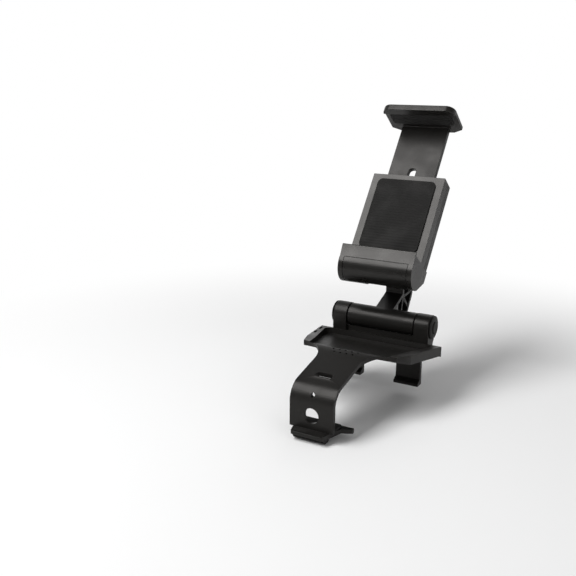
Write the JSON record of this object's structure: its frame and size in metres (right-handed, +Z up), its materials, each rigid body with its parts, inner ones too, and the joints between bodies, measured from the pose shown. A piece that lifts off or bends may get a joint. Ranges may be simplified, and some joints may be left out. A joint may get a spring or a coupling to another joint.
{
  "type": "phone holder for a gamepad",
  "caption": "Phone holder that clips over a gamepad: a saddle with a front hook and back legs, a folding elbow arm and a sliding phone clamp with rubber pads.",
  "frame": {"origin": "on the underside of the saddle's cap, on the mid-plane, at the crest where the apron turns into the tray: the point that rests on the gamepad", "axes": "+X to the player's right, +Y away from the player, +Z up, square to the gamepad's top face at the crest"},
  "size_m": [0.071, 0.1418, 0.1504],
  "materials": {
    "black_moulding": "fine satin texture",
    "satin_cap": "satin, slightly smoother than the mouldings",
    "soft_pad": "matte",
    "steel": "plain zinc-plated",
    "slide_polymer": "smooth"
  },
  "bodies": {
    "saddle": {"saddle_shell": "black_moulding", "cap_liner_left": "soft_pad", "cap_liner_right": "soft_pad", "hook_liner": "soft_pad", "hinge_bolt": "steel", "hinge_nut": "steel", "hinge_spring_washer": "steel", "hinge_cap_left": "satin_cap", "hinge_cap_right": "satin_cap", "hinge_washer_left": "slide_polymer", "hinge_washer_right": "slide_polymer"},
    "arm": {"arm_link": "black_moulding", "friction_collar_left": "slide_polymer", "friction_collar_right": "slide_polymer", "lower_bush": "slide_polymer", "upper_bush": "slide_polymer"},
    "clamp": {"clamp_front": "black_moulding", "clamp_back": "black_moulding", "jaw_front_cover": "black_moulding", "tilt_pin": "steel", "tilt_plug": "satin_cap", "tilt_washer_left": "slide_polymer", "tilt_washer_right": "slide_polymer", "lower_jaw_pad": "soft_pad", "phone_back_pad": "soft_pad", "brake_shoe_left": "slide_polymer", "brake_shoe_right": "slide_polymer", "brake_spring": "steel", "stop_pin": "steel", "housing_screws": "steel"},
    "jaw": {"jaw_slider": "black_moulding", "upper_jaw_pad": "soft_pad"}
  },
  "joints": [
    {"name": "base_tilt", "type": "hinge", "parent": "saddle", "child": "arm", "pos_m": [0, 0.0462, 0.0053], "axis": [1, 0, 0], "range_deg": [-40, 60]},
    {"name": "phone_tilt", "type": "hinge", "parent": "arm", "child": "clamp", "pos_m": [0, 0.0388, 0.0349], "axis": [1, 0, 0], "range_deg": [-8, 50]},
    {"name": "jaw_slide", "type": "slide", "parent": "clamp", "child": "jaw", "axis": [0, 0.6, 0.8], "range_m": [-0.017, 0.012]}
  ]
}
